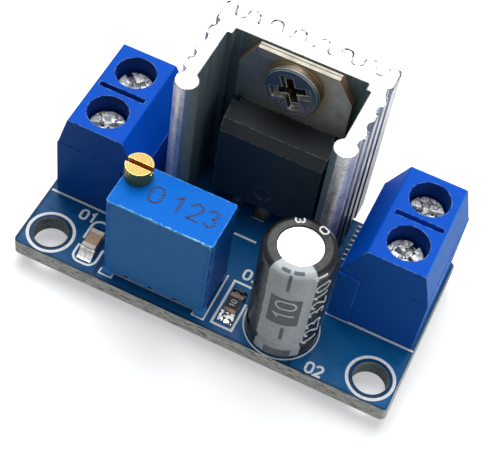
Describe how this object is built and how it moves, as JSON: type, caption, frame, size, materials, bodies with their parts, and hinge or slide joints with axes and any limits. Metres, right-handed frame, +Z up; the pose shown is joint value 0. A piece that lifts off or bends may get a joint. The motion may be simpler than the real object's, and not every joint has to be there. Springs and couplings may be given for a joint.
{
  "type": "linear regulator module",
  "caption": "Adjustable linear voltage regulator on a small board, with a finned heatsink, input and output screw terminals, a multi-turn trimmer and smoothing capacitors",
  "frame": {"origin": "middle of the module's footprint, at the level of the cut pin tips that it stands on", "axes": "+X along the board from the input terminals to the output terminals, +Y to the back edge where the heatsink stands, +Z up through the board"},
  "size_m": [0.0354, 0.0196, 0.0204],
  "materials": {
    "board": "blue solder mask over pale glass epoxy",
    "solder": "bright solder",
    "terminal_plastic": "satin blue moulded plastic",
    "tinned_metal": "dull tin plate",
    "plated_steel": "bright plate, rough recesses",
    "heatsink_aluminium": "bare extrusion, sawn ends",
    "tinned_tab": "dull tinned copper",
    "package_epoxy": "black moulding compound",
    "screw_chrome": "polished plate",
    "trimmer_plastic": "satin azure plastic",
    "trimmer_cover": "dull blue resin",
    "brass": "turned brass",
    "can_aluminium": "drawn aluminium",
    "sleeve": "dark shrunk sleeve with a pale stripe",
    "bung_rubber": "black rubber",
    "chip_ceramic_tan": "fired tan ceramic",
    "chip_ceramic_white": "white alumina",
    "resistor_coat": "black glaze"
  },
  "bodies": {
    "module": {"circuit_board": "board", "solder_joints": "solder", "input_terminal_housing": "terminal_plastic", "output_terminal_housing": "terminal_plastic", "input_terminal_contacts": "tinned_metal", "output_terminal_contacts": "tinned_metal", "heatsink": "heatsink_aluminium", "heatsink_pins": "tinned_metal", "regulator_tab": "tinned_tab", "regulator_leads": "tinned_metal", "regulator_body": "package_epoxy", "regulator_screw": "screw_chrome", "trimmer_case": "trimmer_plastic", "trimmer_cover": "trimmer_cover", "trimmer_pins": "tinned_metal", "capacitor_can": "can_aluminium", "capacitor_sleeve": "sleeve", "capacitor_bung": "bung_rubber", "capacitor_leads": "tinned_metal", "chip_capacitor_body": "chip_ceramic_tan", "chip_capacitor_ends": "tinned_metal", "chip_capacitor_solder": "solder", "chip_resistor_body": "chip_ceramic_white", "chip_resistor_ends": "tinned_metal", "chip_resistor_solder": "solder", "chip_resistor_coat": "resistor_coat"},
    "input_front_screw_body": {"input_front_screw": "plated_steel"},
    "input_front_clamp_body": {"input_front_clamp": "plated_steel"},
    "input_back_screw_body": {"input_back_screw": "plated_steel"},
    "input_back_clamp_body": {"input_back_clamp": "plated_steel"},
    "output_front_screw_body": {"output_front_screw": "plated_steel"},
    "output_front_clamp_body": {"output_front_clamp": "plated_steel"},
    "output_back_screw_body": {"output_back_screw": "plated_steel"},
    "output_back_clamp_body": {"output_back_clamp": "plated_steel"},
    "trimmer_screw_body": {"trimmer_screw": "brass"}
  },
  "joints": [
    {"name": "input_front_screw_turn", "type": "hinge", "parent": "module", "child": "input_front_screw_body", "pos_m": [-0.01365, -0.0005, 0.0103], "axis": [0, 0, -1], "range_deg": [0, 1601]},
    {"name": "input_front_clamp_rise", "type": "slide", "parent": "module", "child": "input_front_clamp_body", "axis": [0, 0, 1], "range_m": [0, 0.002]},
    {"name": "input_back_screw_turn", "type": "hinge", "parent": "module", "child": "input_back_screw_body", "pos_m": [-0.01365, 0.00458, 0.0103], "axis": [0, 0, -1], "range_deg": [0, 1601]},
    {"name": "input_back_clamp_rise", "type": "slide", "parent": "module", "child": "input_back_clamp_body", "axis": [0, 0, 1], "range_m": [0, 0.002]},
    {"name": "output_front_screw_turn", "type": "hinge", "parent": "module", "child": "output_front_screw_body", "pos_m": [0.01385, -0.0005, 0.0103], "axis": [0, 0, -1], "range_deg": [0, 1601]},
    {"name": "output_front_clamp_rise", "type": "slide", "parent": "module", "child": "output_front_clamp_body", "axis": [0, 0, 1], "range_m": [0, 0.002]},
    {"name": "output_back_screw_turn", "type": "hinge", "parent": "module", "child": "output_back_screw_body", "pos_m": [0.01385, 0.00458, 0.0103], "axis": [0, 0, -1], "range_deg": [0, 1601]},
    {"name": "output_back_clamp_rise", "type": "slide", "parent": "module", "child": "output_back_clamp_body", "axis": [0, 0, 1], "range_m": [0, 0.002]},
    {"name": "trimmer_turn", "type": "hinge", "parent": "module", "child": "trimmer_screw_body", "pos_m": [-0.00819, -0.00535, 0.0132], "axis": [0, 0, 1], "continuous": true}
  ],
  "couplings": [
    {"joint": "input_front_screw_turn", "follows": "input_front_clamp_rise", "rad_per_m": 13963},
    {"joint": "input_back_screw_turn", "follows": "input_back_clamp_rise", "rad_per_m": 13963},
    {"joint": "output_front_screw_turn", "follows": "output_front_clamp_rise", "rad_per_m": 13963},
    {"joint": "output_back_screw_turn", "follows": "output_back_clamp_rise", "rad_per_m": 13963}
  ]
}
